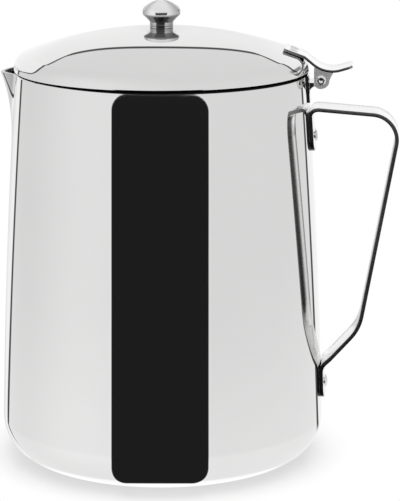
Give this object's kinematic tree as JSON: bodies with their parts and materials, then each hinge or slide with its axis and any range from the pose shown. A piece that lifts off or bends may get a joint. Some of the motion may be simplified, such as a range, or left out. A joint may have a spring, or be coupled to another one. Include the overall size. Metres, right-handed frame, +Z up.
{
  "type": "lidded carafe",
  "caption": "Tapered carafe of polished sheet steel with a bent strip handle, a pressed pouring lip and a hinged domed lid worked by a thumb lever.",
  "frame": {"origin": "middle of the foot ring, on the plane the carafe stands on and on the axis of the body", "axes": "+Z up along the body axis, +X towards the handle and the hinge, -X towards the pouring lip, Y along the hinge pin"},
  "size_m": [0.1653, 0.1352, 0.19],
  "materials": {
    "polished_steel": "mirror polished stainless steel sheet, satin inside",
    "strip_steel": "polished stainless steel strip",
    "knob_steel": "polished turned stainless steel",
    "fastener_steel": "plain stainless steel"
  },
  "bodies": {
    "jug": {"body_wall": "polished_steel", "base_pan": "polished_steel", "pouring_lip": "polished_steel", "hinge_bracket": "strip_steel", "handle": "strip_steel", "upper_rivet": "fastener_steel", "lower_rivet": "fastener_steel"},
    "lid": {"lid_shell": "polished_steel", "knob": "knob_steel", "knob_collar": "knob_steel", "knob_screw": "fastener_steel", "knob_washer": "fastener_steel", "thumb_lever": "strip_steel", "lever_rivets": "fastener_steel", "hinge_pin": "fastener_steel"}
  },
  "joints": [
    {"name": "lid_hinge", "type": "hinge", "parent": "jug", "child": "lid", "pos_m": [0.0657, 0, 0.1589], "axis": [0, 1, 0], "range_deg": [0, 80]}
  ]
}
